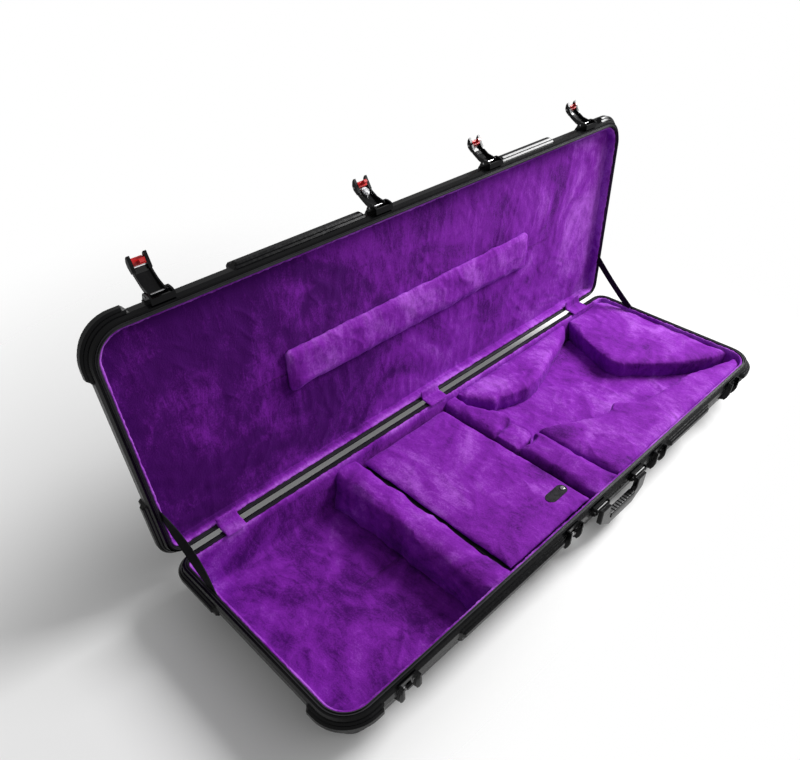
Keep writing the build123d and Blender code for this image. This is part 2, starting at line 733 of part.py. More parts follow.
with BuildPart() as handle_grip:
    with BuildSketch(side(RIM, HANDLE_X)):
        with Locations((FRONT - 18.3, -GRIP_TOP - 6)):
            RectangleRounded(13, 12, 2.5)
    extrude(amount=HANDLE_HALF - LOBE_WIDTH - 7, both=True)
    with BuildSketch(facing(RIM, HANDLE_X, FRONT - 10, -GRIP_TOP)):
        with GridLocations(8, 1, 8, 1):
            Rectangle(3.4, 3)
    extrude(amount=20, mode=Mode.SUBTRACT)
export(handle_grip, "handle_grip")

# Lining of the base, and the space inside it

with BuildPart() as block_space:
    with BuildSketch(RIM.offset(-POCKET_FLOOR + SOFT_GAP)):
        outline(LINING_LIP - POCKET_DRAFT - SOFT_GAP, back=RIM_CORNER)
    with BuildSketch(RIM.offset(-1)):
        outline(LINING_LIP - SOFT_GAP)
    loft(ruled=True)

STRAP_Y = HINGE_Y - 100
STRAP_WIDTH = 16.0
STRAP_DROP = 5.0
STRAP_NOTCH = 18.0


def strap_notches(frame, near, depth):
    for sign in (-1, 1):
        with BuildSketch(side(frame, sign * (HALF_LENGTH - VALANCE_WIDTH - 4))) as face:
            with Locations((STRAP_Y + 4, near + depth / 2)):
                Rectangle(34, abs(depth))
        extrude(face.sketch, amount=4.2, both=True, mode=Mode.SUBTRACT)


with BuildPart() as base_lining:
    with BuildSketch(RIM.offset(-LINING_BOTTOM)):
        outline(LINING_OUT - 16, back=RIM_CORNER)
    with BuildSketch(RIM.offset(-BEAD_END)):
        outline(LINING_OUT)
    loft(ruled=True)
    with BuildSketch(RIM.offset(-BEAD_END)):
        outline(LINING_OUT)
    extrude(amount=BEAD_END - 1)
    with BuildSketch(RIM.offset(-POCKET_FLOOR)):
        outline(LINING_LIP - POCKET_DRAFT, back=RIM_CORNER)
    with BuildSketch(RIM.offset(-1)):
        outline(LINING_LIP)
    loft(ruled=True, mode=Mode.SUBTRACT)
    strap_notches(RIM, 0, -STRAP_NOTCH)
export(base_lining, "base_lining")

with BuildPart() as lid_lining:
    with BuildSketch(LID.offset(BEAD_END)):
        outline(LINING_OUT)
    with BuildSketch(LID.offset(LID_DEPTH - WALL - 0.2)):
        outline(LINING_OUT - 10, back=RIM_CORNER)
    loft(ruled=True)
    fillet(lid_lining.edges().group_by(LID_UP)[-1], LID_TOP_RADIUS - WALL)
    with BuildSketch(LID.offset(LID_FLOOR)):
        outline(LINING_OUT)
    extrude(amount=BEAD_END - LID_FLOOR)
export(lid_lining, "lid_lining")

with BuildPart() as lid_border:
    with BuildSketch(LID.offset(1)):
        outline(LINING_OUT)
    extrude(amount=LID_FLOOR - 1.2)
    with BuildSketch(LID.offset(1)):
        outline(LINING_LIP)
    with BuildSketch(LID.offset(LID_FLOOR)):
        outline(LINING_LIP - 5)
    loft(ruled=True, mode=Mode.SUBTRACT)
    strap_notches(LID, 0, STRAP_NOTCH)
export(lid_border, "lid_border")

with BuildPart() as lid_pad:
    with BuildSketch(LID.offset(LID_FLOOR - SOFT_GAP)):
        with Locations((-3, -5.5)):
            RectangleRounded(LID_PAD_LENGTH, LID_PAD_WIDTH, 14)
    extrude(amount=-LID_PAD_THICK)
    fillet(lid_pad.edges().group_by(LID_UP)[0], 5)
export(lid_pad, "lid_pad")

# Padded dividers and the flap over the accessory space

with BuildPart() as neck_rest:
    with BuildSketch(Plane(origin=(0, 0, BASE_DEPTH), x_dir=(1, 0, 0), z_dir=(0, -1, 0))):
        with BuildLine():
            Polyline(
                (REST_FOOT, -POCKET_FLOOR), (REST_LEFT - 3, -24), (REST_LEFT + 5, -14), (REST_LEFT + 18, -REST_TOP),
                (REST_RIGHT - 18, -REST_TOP - 1), (REST_RIGHT - 5, -15), (REST_RIGHT, -24),
                (REST_RIGHT, -POCKET_FLOOR), close=True,
            )
        make_face()
    extrude(amount=HALF_WIDTH, both=True)
    add(block_space.part, mode=Mode.INTERSECT)
export(neck_rest, "neck_rest")

with BuildPart() as compartment_lid:
    with BuildSketch(RIM.offset(-FLAP_TOP - FLAP_THICK)):
        with Locations(((FLAP_LEFT + FLAP_RIGHT) / 2, 0)):
            Rectangle(FLAP_RIGHT - FLAP_LEFT, 2 * FLAP_HALF)
    extrude(amount=FLAP_THICK)
    fillet(compartment_lid.edges().filter_by(Axis.Y).group_by(Axis.X)[-1], 3.5)
export(compartment_lid, "compartment_lid")

with BuildPart() as compartment_tape:
    with BuildSketch(Plane(origin=(0, 0, BASE_DEPTH), x_dir=(1, 0, 0), z_dir=(0, -1, 0))):
        with BuildLine():
            Polyline(
                (REST_RIGHT + 0.3, -45), (REST_RIGHT + 0.3, -28.3), (FLAP_LEFT + 18, -28.3),
                (FLAP_LEFT + 18, -29.4), (REST_RIGHT + 1.4, -29.4), (REST_RIGHT + 1.4, -45), close=True,
            )
        make_face()
    extrude(amount=FLAP_HALF - 12, both=True)
export(compartment_tape, "compartment_tape")

TAB_X = -20.0
TAB_Y = -133.0

with BuildPart() as pull_tab:
    with BuildSketch(RIM.offset(-FLAP_TOP + 0.3)):
        with Locations((TAB_X - 18, TAB_Y)):
            SlotOverall(52, 22)
        with Locations((TAB_X, TAB_Y)):
            Circle(2.6, mode=Mode.SUBTRACT)
    extrude(amount=2.4)
export(pull_tab, "pull_tab")

with BuildPart() as tab_rivet:
    with BuildSketch(RIM.offset(-FLAP_TOP)):
        with Locations((TAB_X, TAB_Y)):
            Circle(2.5)
    extrude(amount=2.8)
    with BuildSketch(RIM.offset(-FLAP_TOP + 2.8)):
        with Locations((TAB_X, TAB_Y)):
            Circle(5)
    extrude(amount=1.6)
    fillet(tab_rivet.edges().group_by(UP)[-1], 1.2)
export(tab_rivet, "tab_rivet")

# Foam blocks round the body pocket, standing on the pocket's pad

with BuildPart() as pocket_pad:
    with BuildSketch(RIM.offset(-POCKET_FLOOR)):
        with Locations(((FOAM_LEFT + HALF_LENGTH) / 2, 0)):
            Rectangle(HALF_LENGTH - FOAM_LEFT, RIM_WIDTH)
    extrude(amount=POCKET_FLOOR - PAD_TOP)
    add(block_space.part, mode=Mode.INTERSECT)
export(pocket_pad, "pocket_pad")


SHARES = 1000


def block(points, top=FOAM_TOP):
    """One foam block with softened upper edges, trimmed to the lining.

    The points are drawn in shares of the space from the rim's middle to its ends and sides, in thousandths.
    """
    with BuildSketch(RIM.offset(-PAD_TOP + SOFT_GAP)) as face:
        with BuildLine():
            Polyline(*[(x * HALF_LENGTH / SHARES, y * HALF_WIDTH / SHARES) for x, y in points], close=True)
        make_face()
    foam = extrude(face.sketch, amount=PAD_TOP - SOFT_GAP - top)
    chamfer(foam.edges().group_by(UP)[-1], FOAM_CHAMFER)
    add(block_space.part, mode=Mode.INTERSECT)


def slope_to_flap():
    """Takes the top of a neck block down towards the compartment lid."""
    with BuildSketch(Plane(origin=(0, 0, BASE_DEPTH), x_dir=(1, 0, 0), z_dir=(0, -1, 0))) as face:
        with BuildLine():
            Polyline(
                (FOAM_LEFT - 1, 0), (FOAM_LEFT - 1, -FOAM_TOP - NECK_FOAM_DROP), (NECK_FOAM_RIGHT, -FOAM_TOP),
                (NECK_FOAM_RIGHT, 0), close=True,
            )
        make_face()
    extrude(face.sketch, amount=HALF_WIDTH, both=True, mode=Mode.SUBTRACT)


with BuildPart() as foam_waist:
    block(
        ((78, 1000), (80, 887), (113, 698), (153, 578), (175, 583), (208, 533), (252, 498), (295, 468),
         (363, 488), (438, 553), (540, 668), (623, 762), (723, 922), (733, 1000))
    )
export(foam_waist, "foam_waist")

with BuildPart() as foam_tail:
    block(
        ((757, 1000), (733, 877), (707, 757), (687, 598), (670, 473), (645, 284), (632, 130), (640, 15),
         (717, -219), (802, -448), (908, -638), (1000, -787), (1000, 1000))
    )
export(foam_tail, "foam_tail")

with BuildPart() as foam_front:
    block(
        ((128, -1000), (128, -10), (210, -110), (328, -289), (380, -329), (438, -269), (482, -429),
         (502, -488), (633, -548), (775, -613), (855, -722), (943, -827), (1000, -867), (1000, -1000))
    )
export(foam_front, "foam_front")

with BuildPart() as foam_neck_back:
    block(
        ((13, 1000), (13, 259), (127, 299), (120, 478), (82, 747), (72, 1000))
    )
    slope_to_flap()
export(foam_neck_back, "foam_neck_back")

with BuildPart() as foam_neck_front:
    block(
        ((13, -1000), (13, -40), (73, -50), (127, 5), (127, -1000))
    )
    slope_to_flap()
export(foam_neck_front, "foam_neck_front")

with BuildPart() as neck_cradle:
    block(
        ((13, 254), (13, -35), (72, -45), (117, 10), (118, 199), (110, 289)), top=CRADLE_TOP
    )
export(neck_cradle, "neck_cradle")

# Plush covers over the hinges, standing across the gap between the rims

COVER_LEFT = (20, 25, 27)
COVER_RIGHT = (20, 24, 27)

with BuildPart() as hinge_covers:
    for x, left, right in zip(HINGE_X, COVER_LEFT, COVER_RIGHT):
        with BuildSketch(side(RIM, x + (right - left) / 2)):
            with BuildLine():
                Polyline(
                    (HALF_WIDTH - 14, 0.1), (HALF_WIDTH + 7.5, 0.1), (HALF_WIDTH + 13.9, 2.2), (HALF_WIDTH + 13.9, 5.4),
                    (HALF_WIDTH + 16.4, 8), (HALF_WIDTH + 16.4, 20), (HALF_WIDTH + 14.7, 20),
                    (HALF_WIDTH + 14.7, 8.7), (HALF_WIDTH + 12.2, 6.1), (HALF_WIDTH + 12.2, 3.4),
                    (HALF_WIDTH + 7, 1.8), (HALF_WIDTH - 14, 1.8), close=True,
                )
            make_face()
        extrude(amount=(left + right) / 2, both=True)
export(hinge_covers, "hinge_covers")

# Stay straps at the two ends

STRAP_X = HALF_LENGTH - VALANCE_WIDTH - 1.05
STRAP_HALF_THICK = 0.75
STRAP_RIVET_RADIUS = 2.0
BASE_ANCHOR = Vector(0, STRAP_Y, BASE_DEPTH - STRAP_DROP)
LID_ANCHOR = Vector(*opened(STRAP_Y, STRAP_DROP))

for name, sign in (("strap_left", -1), ("strap_right", 1)):
    shift = Vector(sign * STRAP_X, 0, 0)
    run = LID_ANCHOR - BASE_ANCHOR
    middle = (BASE_ANCHOR + LID_ANCHOR) * 0.5 + shift
    with BuildPart() as strap:
        with BuildSketch(Plane(origin=middle, x_dir=run, z_dir=(1, 0, 0))):
            SlotCenterToCenter(run.length, STRAP_WIDTH)
            with Locations((-run.length / 2, 0), (run.length / 2, 0)):
                Circle(STRAP_RIVET_RADIUS + PIN_CLEARANCE, mode=Mode.SUBTRACT)
        extrude(amount=STRAP_HALF_THICK, both=True)
    export(strap, name)


def strap_rivets(anchor):
    """A rivet at each end of the case, its shank through the strap to the rim."""
    for sign in (-1, 1):
        spot = anchor + Vector(sign * (HALF_LENGTH - VALANCE_WIDTH), 0, 0)
        inwards = Plane(origin=spot, x_dir=(0, 1, 0), z_dir=(-sign, 0, 0))
        with BuildSketch(inwards) as face:
            Circle(STRAP_RIVET_RADIUS)
        extrude(face.sketch, amount=2.2)
        with BuildSketch(inwards.offset(1.9)) as face:
            Circle(4)
        extrude(face.sketch, amount=1.1)


with BuildPart() as strap_rivets_base:
    strap_rivets(BASE_ANCHOR)
export(strap_rivets_base, "strap_rivets_base")

with BuildPart() as strap_rivets_lid:
    strap_rivets(LID_ANCHOR)
export(strap_rivets_lid, "strap_rivets_lid")
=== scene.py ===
"""The looks of a long moulded instrument case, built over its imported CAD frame."""
import json
from math import cos, pi, radians, sin

import bmesh
import bpy
import numpy as np
from mathutils import Matrix, Vector, noise


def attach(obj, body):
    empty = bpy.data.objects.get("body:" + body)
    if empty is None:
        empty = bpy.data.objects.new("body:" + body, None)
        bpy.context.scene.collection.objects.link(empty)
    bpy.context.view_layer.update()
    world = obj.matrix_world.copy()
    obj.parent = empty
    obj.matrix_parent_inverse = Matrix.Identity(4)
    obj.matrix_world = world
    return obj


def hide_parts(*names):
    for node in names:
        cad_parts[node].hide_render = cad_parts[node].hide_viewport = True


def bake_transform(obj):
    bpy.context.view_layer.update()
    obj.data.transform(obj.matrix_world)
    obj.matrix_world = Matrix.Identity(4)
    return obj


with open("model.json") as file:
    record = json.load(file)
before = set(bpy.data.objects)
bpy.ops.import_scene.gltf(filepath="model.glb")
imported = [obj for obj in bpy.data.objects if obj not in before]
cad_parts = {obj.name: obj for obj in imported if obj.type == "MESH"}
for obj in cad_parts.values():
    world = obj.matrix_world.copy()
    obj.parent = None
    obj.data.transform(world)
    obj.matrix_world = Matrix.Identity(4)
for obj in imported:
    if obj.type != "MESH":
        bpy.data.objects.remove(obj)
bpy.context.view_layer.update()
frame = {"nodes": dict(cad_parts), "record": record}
nodes = frame["nodes"]
scene = bpy.context.scene


# The view: a camera fitted to the photograph's perspective. It stands off the case's
# front left corner, is turned to the right and looks down by about 43 degrees.

VIEW_PLACE = (-0.8123, -0.5560, 0.9451)
VIEW_TURN = -45.46
VIEW_DROP = 43.38
VIEW_ROLL = -0.16
camera = bpy.data.objects.new("camera", bpy.data.cameras.new("camera"))
scene.collection.objects.link(camera)
scene.camera = camera
camera.data.sensor_width = 36
camera.data.lens = 30.272
camera.data.shift_x = -0.02775
camera.data.shift_y = 0.1095
camera.data.clip_start = 0.01
camera.matrix_world = (
    Matrix.Translation(VIEW_PLACE)
    @ Matrix.Rotation(radians(VIEW_TURN), 4, "Z")
    @ Matrix.Rotation(radians(90 - VIEW_DROP), 4, "X")
    @ Matrix.Rotation(radians(VIEW_ROLL), 4, "Z")
)
scene.view_settings.view_transform = "Standard"


# The hard pieces: moulded plastic shells and latches, metal rims, steel pins, springs
# and rivets, red triggers, a rubber grip, a vinyl tab. Their shapes come with the frame,
# so they only get their finishes here, and the straps' webbing is finished with them.

class Tie:
    """A node output of a material, which can stand in sums."""

    def __init__(self, tree, socket=None):
        self.tree = tree
        self.socket = socket

    def node(self, kind, inputs=None, out=0, **settings):
        """A new node with these settings, and with values or links on its sockets."""
        made = self.tree.nodes.new("ShaderNode" + kind)
        for name, value in settings.items():
            setattr(made, name, value)
        for key, value in (inputs or {}).items():
            if isinstance(value, Tie):
                self.tree.links.new(value.socket, made.inputs[key])
            else:
                made.inputs[key].default_value = value
        return Tie(self.tree, made.outputs[out])

    def math(self, operation, other=0.0):
        return self.node("Math", {0: self, 1: other}, operation=operation)

    def __add__(self, other):
        return self.math("ADD", other)

    __radd__ = __add__

    def __sub__(self, other):
        return self.math("SUBTRACT", other)

    def __rsub__(self, other):
        return self.node("Math", {0: other, 1: self}, operation="SUBTRACT")

    def __mul__(self, other):
        return self.math("MULTIPLY", other)

    __rmul__ = __mul__

    def ramp(self, low, high):
        """0 below low, 1 above high, smooth between."""
        sockets = {0: self, 1: low, 2: high, 3: 0.0, 4: 1.0}
        return self.node("MapRange", sockets, interpolation_type="SMOOTHSTEP")

    def mix(self, first, second):
        """The first colour where this is 0, the second where it is 1."""
        return self.node("Mix", {0: self, 6: first, 7: second}, out=2, data_type="RGBA")


def material(name):
    """An empty material, its start for sums, its object coordinates and its shader node."""
    made = bpy.data.materials.new(name)
    made.use_nodes = True
    start = Tie(made.node_tree)
    place = start.node("TexCoord", out="Object")
    return made, start, place, made.node_tree.nodes["Principled BSDF"]


def wire(shader, key, value):
    value.tree.links.new(value.socket, shader.inputs[key])


def noise_at(start, place, scale, detail=2.0, rough=0.5, distort=0.0):
    sockets = {"Vector": place, "Scale": scale, "Detail": detail}
    sockets.update({"Roughness": rough, "Distortion": distort})
    return start.node("TexNoise", sockets)


def bump(start, height, strength, distance):
    return start.node("Bump", {"Strength": strength, "Distance": distance, "Height": height})


GRAIN_SCALE = 900.0
GRAIN_DEPTH = 0.0004


def plain(name, color, rough, metal=0.0, grain=0.0, coat=0.0, shine=0.5):
    """A hard surface: one colour with a little unevenness, and an optional fine grain."""
    made, start, place, shader = material(name)
    patches = noise_at(start, place, scale=14.0, detail=3.0)
    smears = noise_at(start, place, scale=160.0)
    dark = tuple(c * 0.82 for c in color) + (1,)
    light = tuple(min(1, c * 1.15) for c in color) + (1,)
    wire(shader, "Base Color", patches.ramp(0.35, 0.65).mix(dark, light))
    wire(shader, "Roughness", smears.ramp(0.3, 0.7) * 0.08 + (rough - 0.04))
    shader.inputs["Metallic"].default_value = metal
    shader.inputs["Specular IOR Level"].default_value = shine
    shader.inputs["Coat Weight"].default_value = coat
    if grain:
        height = noise_at(start, place, GRAIN_SCALE, detail=1.0)
        wire(shader, "Normal", bump(start, height, grain, GRAIN_DEPTH))
    return made


BLACK_PLASTIC = (0.0012, 0.0013, 0.0018)
looks = {
    "shell_plastic": plain("shell_plastic", BLACK_PLASTIC, 0.26, grain=0.1, shine=0.26),
    "latch_plastic": plain("latch_plastic", BLACK_PLASTIC, 0.2, grain=0.04, shine=0.34),
    "rim_metal": plain("rim_metal", (0.05, 0.05, 0.054), 0.34, metal=0.6),
    "bright_steel": plain("bright_steel", (0.5, 0.5, 0.51), 0.25, metal=1.0),
    "chrome": plain("chrome", (0.62, 0.62, 0.64), 0.14, metal=1.0),
    "grip_rubber": plain("grip_rubber", (0.008, 0.008, 0.009), 0.42, grain=0.2, shine=0.42),
    "trigger_plastic": plain("trigger_plastic", (0.55, 0.01, 0.012), 0.25, coat=0.5),
    "tab_vinyl": plain("tab_vinyl", (0.006, 0.0055, 0.008), 0.3, grain=0.2),
    "webbing": plain("webbing", (0.004, 0.0035, 0.006), 0.75, grain=0.6, shine=0.2),
}


# The plush: a short synthetic pile on a knitted back, which covers every lining, block
# and pad. It looks darker or lighter by the way that it was last brushed.

PLUSH_DARK = (0.062, 0.0012, 0.125, 1)
PLUSH_MID = (0.21, 0.015, 0.37, 1)
PLUSH_LIGHT = (0.43, 0.11, 0.66, 1)
PLUSH_SHEEN = (0.62, 0.2, 1.0, 1)
PILE_DEPTH = 0.0022
STROKE_STRETCH = (1.0, 0.35, 0.35)


def plush(name, toned):
    """Short pile, brushed this way and that. A toned piece has a shade at each vertex."""
    made, start, place, shader = material(name)
    brushed = noise_at(start, place, scale=5.5, detail=4.0, rough=0.55, distort=1.8)
    stretched = start.node("VectorMath", {0: place, 1: STROKE_STRETCH}, operation="MULTIPLY")
    strokes = noise_at(start, stretched, scale=85.0, detail=4.0, rough=0.65, distort=1.2)
    pile = noise_at(start, place, scale=1300.0, detail=2.0, rough=0.7)
    fuzz = noise_at(start, place, scale=300.0, detail=3.0, rough=0.75)
    tone = brushed * 0.55 + strokes * 0.25 + fuzz * 0.2
    # The per-vertex tone of the linings and pads carries painted light: lighter lips, lighter tops
    # and a falloff across the lid's floor
    if toned:
        tone = tone + start.node("Attribute", attribute_name="tone", out="Fac") - 0.5
    color = tone.ramp(0.32, 0.54).mix(PLUSH_DARK, PLUSH_MID)
    color = tone.ramp(0.5, 0.72).mix(color, PLUSH_LIGHT)
    wire(shader, "Base Color", color)
    shader.inputs["Roughness"].default_value = 0.8
    shader.inputs["Specular IOR Level"].default_value = 0.12
    shader.inputs["Sheen Weight"].default_value = 0.24
    shader.inputs["Sheen Roughness"].default_value = 0.35
    shader.inputs["Sheen Tint"].default_value = PLUSH_SHEEN
    height = pile * 0.2 + fuzz * 0.5 + strokes * 0.3
    wire(shader, "Normal", bump(start, height, 0.75, PILE_DEPTH))
    return made


looks["plush"] = plush("plush", toned=False)
toned_plush = plush("plush_toned", toned=True)
slot_of = {part["node"]: part["material_slot"] for part in frame["record"]["subparts"]}
for name, obj in nodes.items():
    obj.data.materials.clear()
    obj.data.materials.append(looks[slot_of[name]])


# The lid's lining: plush over a thin board and over the padded border round it, in the
# lid that stands open about its hinge. Its pile ends at the rim in a furry lip.

RIM_LENGTH = 1.2
RIM_WIDTH = 0.4014
RIM_CORNER = 0.05
BACK_CORNER = 0.024
RIM_HEIGHT = 0.096
HALF_LENGTH = RIM_LENGTH / 2
HALF_WIDTH = RIM_WIDTH / 2
SMALLEST_CORNER = 0.0008
SMALLEST_HALF_WIDTH = 0.0006
CORNER_STEPS = 10
LONG_SIDE_STEPS = 400

# How far the linings' outside stands in from the rim's outline, and how far further in
# and how deep each ring of the lip lies, from the outside over the top to the wall
LINING_IN = 0.0053
LIP_RINGS = (
    (0.0, 0.022), (0.0, 0.006), (0.0004, 0.0036), (0.0016, 0.0026),
    (0.003, 0.003), (0.004, 0.0042), (0.0044, 0.0055),
)
WALL_STEP = 0.005
FLOOR_STEP = 0.0045
FLOOR_END = 0.004
LID_FLOOR = 0.0205

joints = {joint["name"]: joint for joint in frame["record"]["behaviour"]["joints"]}
hinge = Vector(joints["lid_hinge"]["pos_m"])
opening = radians(joints["lid_hinge"]["range_deg"][1])
rim_place = Matrix.Translation((0, 0, RIM_HEIGHT))
lid_place = (
    Matrix.Translation(hinge)
    @ Matrix.Rotation(-opening, 4, "X")
    @ Matrix.Translation(-hinge)
    @ rim_place
)


def limited(value):
    """A value kept between 0 and 1."""
    return max(0.0, min(1.0, value))


def fold(point, size, seed):
    """Soft creases, from 0 between them to 1 on their crests."""
    p = point / size + Vector((seed, seed * 0.7, seed * 1.3))
    warp = Vector((noise.noise(p * 0.6), noise.noise(p * 0.6 + Vector((7, 3, 1))), 0))
    return (1 - abs(noise.noise(p + warp * 0.9))) ** 4


def wave(point, size, seed):
    """Gentle swells, from about -1 to 1."""
    return noise.noise(point / size + Vector((seed, seed * 1.9, -seed)))


def new_piece(name, data):
    obj = bpy.data.objects.new(name, data)
    scene.collection.objects.link(obj)
    return obj


def dress(obj, body, replaced, tones):
    """Gives a soft piece its pile and its body, hides the nodes it stands for, and gives it its
    shade.
    """
    mesh = obj.data
    mesh.materials.clear()
    mesh.materials.append(toned_plush)
    for face in mesh.polygons:
        face.use_smooth = True
    layer = mesh.attributes.new("tone", "FLOAT", "POINT")
    layer.data.foreach_set("value", np.array(tones, dtype=np.float32))
    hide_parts(*replaced)
    if body:
        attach(obj, body)


def rim_ring(out, depth, back=BACK_CORNER):
    """Points along the rim's outline, moved outwards and down: as many for any move."""
    half_length = HALF_LENGTH + out
    half_width = max(HALF_WIDTH + out, SMALLEST_HALF_WIDTH)
    back_radius = min(max(back + out, SMALLEST_CORNER), half_width)
    front_radius = min(max(RIM_CORNER + out, SMALLEST_CORNER), half_width)
    corners = (
        (1, 1, back_radius, 0),
        (-1, 1, back_radius, 90),
        (-1, -1, front_radius, 180),
        (1, -1, front_radius, 270),
    )
    middles = [
        Vector((right * (half_length - radius), up * (half_width - radius)))
        for right, up, radius, turn in corners
    ]
    ring = []
    for number, (right, up, radius, turn) in enumerate(corners):
        middle = middles[number]
        for step in range(CORNER_STEPS + 1):
            angle = radians(turn + step * 90 / CORNER_STEPS)
            ring.append((middle.x + radius * cos(angle), middle.y + radius * sin(angle), depth))
        following = (number + 1) % 4
        next_radius, next_turn = corners[following][2:]
        angle = radians(next_turn)
        begin = Vector(ring[-1][:2])
        end = middles[following] + Vector((cos(angle), sin(angle))) * next_radius
        count = LONG_SIDE_STEPS if number % 2 == 0 else LONG_SIDE_STEPS // 3
        for step in range(1, count):
            spot = begin.lerp(end, step / count)
            ring.append((spot.x, spot.y, depth))
    return ring


def lining_rings(sign, under, floor, draft, round_off):
    """Rings from a lining's underside, up its outside, over its lip and down to its floor."""
    rings = [rim_ring(-LINING_IN - under[0], sign * under[1], back=RIM_CORNER)]
    for inwards, depth in LIP_RINGS:
        rings.append(rim_ring(-LINING_IN - inwards, sign * depth))
    lip_in, lip_depth = LIP_RINGS[-1]
    wall = floor - round_off
    levels = max(3, int(wall / WALL_STEP))
    for level in range(1, levels + 1):
        depth = lip_depth + (wall - lip_depth) * level / levels
        rings.append(rim_ring(-LINING_IN - lip_in - draft * depth / floor, sign * depth))
    edge = -LINING_IN - lip_in - draft * wall / floor
    for step in range(1, 6):
        angle = radians(18 * step)
        depth = wall + round_off * sin(angle)
        rings.append(rim_ring(edge - round_off * (1 - cos(angle)), sign * depth))
    edge -= round_off
    while HALF_WIDTH + edge > FLOOR_END:
        edge -= FLOOR_STEP
        rings.append(rim_ring(edge, sign * floor))
    return rings


def closed_mesh(name, points, faces):
    """A mesh of these points and faces, all of its faces turned outwards."""
    mesh = bpy.data.meshes.new(name)
    mesh.from_pydata(points, [], faces)
    made = bmesh.new()
    made.from_mesh(mesh)
    bmesh.ops.recalc_face_normals(made, faces=made.faces)
    made.to_mesh(mesh)
    made.free()
    return mesh


def loft(name, rings):
    """One skin over a stack of equal rings, with a face over the first and the last."""
    count = len(rings[0])
    points = [point for ring in rings for point in ring]
    faces = []
    for row in range(len(rings) - 1):
        for step in range(count):
            after = (step + 1) % count
            low, high = row * count, (row + 1) * count
            faces.append((low + step, low + after, high + after, high + step))
    faces.append(tuple(range(count))[::-1])
    faces.append(tuple((len(rings) - 1) * count + step for step in range(count)))
    return closed_mesh(name, points, faces)


def push(mesh, amount):
    """Moves every vertex along its normal by amount(point)."""
    mesh.update()
    normals = [vertex.normal.copy() for vertex in mesh.vertices]
    for vertex, normal in zip(mesh.vertices, normals):
        vertex.co += normal * amount(vertex.co.copy())
    mesh.update()


def rim_band(point):
    """1 on the lip and the upper wall of a lining, 0 on its floor."""
    return limited(1.35 - abs(point.z) / 0.011)


def fur(point):
    """Tufts on the lip of a lining."""
    return 0.0013 * wave(point, 0.0042, 2.0) + 0.0009 * wave(point, 0.011, 4.0)


def lid_folds(point):
    """Long creases across the lid's floor, and a furry edge."""
    deep = 1 - rim_band(point)
    streak = Vector((point.x + point.y * 0.35, point.y * 0.3, 0))
    rise = 0.0016 * fold(streak, 0.055, 3.0) + 0.0012 * fold(point, 0.035, 8.0)
    rise += 0.0018 * wave(point, 0.12, 1.0) + 0.0008 * wave(point, 0.02, 5.0)
    return (rise - 0.0006) * deep + fur(point) * (1 - deep)


def lid_shade(point):
    """Painted light: lighter on the lip, and lighter from left to right across the floor."""
    lip = rim_band(point)
    # Painted light falling from the lamp on the right, darker at the left end
    painted_light_rightwards = 0.13 * (point.x / HALF_LENGTH) * (1 - lip)
    return 0.445 + 0.16 * lip + 0.04 * wave(point, 0.09, 6.0) + painted_light_rightwards


lid_rings = lining_rings(1, (0.012, 0.0385), LID_FLOOR, draft=0.0015, round_off=0.003)
lid_plush = loft("lid_plush", lid_rings)
push(lid_plush, lid_folds)
lid_tones = [lid_shade(vertex.co) for vertex in lid_plush.vertices]
lid_plush.transform(lid_place)
dress(new_piece("lid_plush", lid_plush), "lid", ["lid_lining", "lid_border"], lid_tones)


# The base's lining: the same plush over a deep tray. It lies bare in the compartment at
# the left end, and the foam blocks and the pocket's pad are set into the rest of it.

BASE_FLOOR = 0.08


def base_folds(point):
    """Puckers over the open compartment's floor, and a furry edge."""
    deep = 1 - rim_band(point)
    rise = 0.0028 * fold(point, 0.06, 11.0) + 0.0016 * fold(point, 0.03, 4.0)
    rise += 0.0025 * wave(point, 0.1, 9.0) + 0.0008 * wave(point, 0.018, 5.0)
    wall = 0.35 if abs(point.z) < BASE_FLOOR - 0.006 else 1.0
    return (rise - 0.001) * deep * wall + fur(point) * (1 - deep)


# Painted light: the lip and upper wall are lighter than the floor, a painted highlight; the swells
# vary the tone at random
def base_shade(point):
    return 0.45 + 0.12 * rim_band(point) + 0.05 * wave(point, 0.08, 6.0)


base_rings = lining_rings(-1, (0.0175, 0.0845), BASE_FLOOR, draft=0.0115, round_off=0.012)
base_plush = loft("base_plush", base_rings)
push(base_plush, base_folds)
base_tones = [base_shade(vertex.co) for vertex in base_plush.vertices]
base_plush.transform(rim_place)
dress(new_piece("base_plush", base_plush), "base", ["base_lining"], base_tones)


# The padded pieces: foam or board, wrapped in plush. The blocks are pressed into the
# linings, and the compartment's lid hangs on its tape. Each starts from its solid,
# swells as cloth under a little pressure and gets its creases.

VOXEL = 0.0055
PRESSURE = 4.0
STEPS = 20

# Each one's body, the most that it may swell, and how full it is
cushions = {
    "neck_rest": ("base", 0.005, 0.75),
    "compartment_lid": ("compartment_lid", 0.0022, 0.5),
    "foam_waist": ("base", 0.0035, 0.7),
    "foam_tail": ("base", 0.0035, 0.7),
    "foam_front": ("base", 0.0045, 0.7),
    "foam_neck_back": ("base", 0.0035, 0.7),
    "foam_neck_front": ("base", 0.0045, 0.7),
    "neck_cradle": ("base", 0.005, 0.7),
    "pocket_pad": ("base", 0.003, 0.5),
    "lid_pad": ("lid", 0.004, 0.7),
}


def from_node(name):
    """A copy of a node's mesh, joined up and in place."""
    source = nodes[name]
    mesh = source.data.copy()
    mesh.transform(source.matrix_world)
    made = bmesh.new()
    made.from_mesh(mesh)
    bmesh.ops.remove_doubles(made, verts=made.verts, dist=1e-5)
    made.to_mesh(mesh)
    made.free()
    return mesh


def settled(obj):
    """The mesh that an object's modifiers make."""
    graph = bpy.context.evaluated_depsgraph_get()
    return bpy.data.meshes.new_from_object(obj.evaluated_get(graph))


def swap(obj, mesh):
    """Gives an object another mesh in place of its own and its modifiers."""
    obj.modifiers.clear()
    old = obj.data
    obj.data = mesh
    bpy.data.meshes.remove(old)


